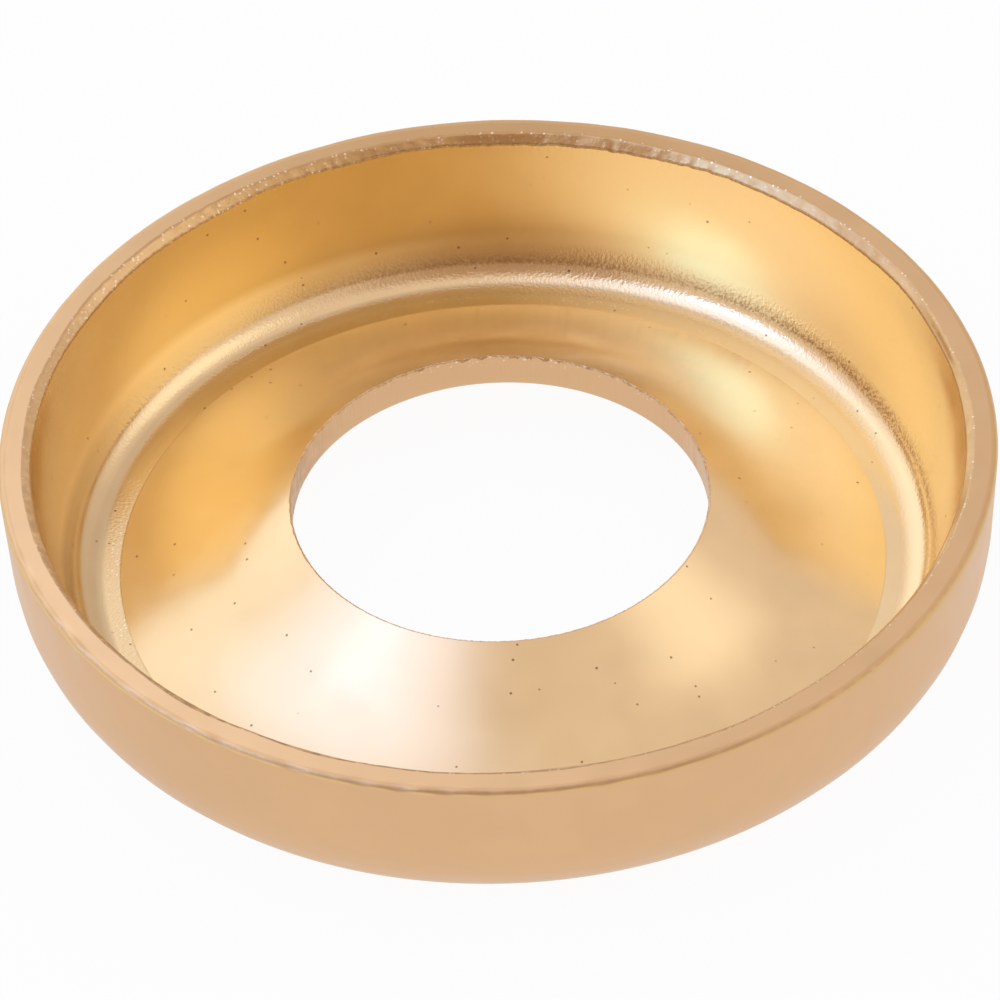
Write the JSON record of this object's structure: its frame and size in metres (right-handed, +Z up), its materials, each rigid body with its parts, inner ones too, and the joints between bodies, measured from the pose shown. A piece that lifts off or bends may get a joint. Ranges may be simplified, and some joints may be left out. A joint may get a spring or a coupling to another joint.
{
  "type": "finishing cup washer",
  "caption": "Pressed brass cup washer: a low round wall, a floor that curves up into a flat cone and a plain through hole, to seat a screw or rod and cover the hole it passes.",
  "frame": {"origin": "centre of the foot ring, on the plane the washer stands on", "axes": "+Z up along the hole's axis, out of the open side of the cup"},
  "size_m": [0.025, 0.025, 0.0048],
  "materials": {
    "brass": "satin outside, brighter inside, sheared edges"
  },
  "bodies": {
    "root": {"cup_washer": "brass"}
  },
  "joints": []
}
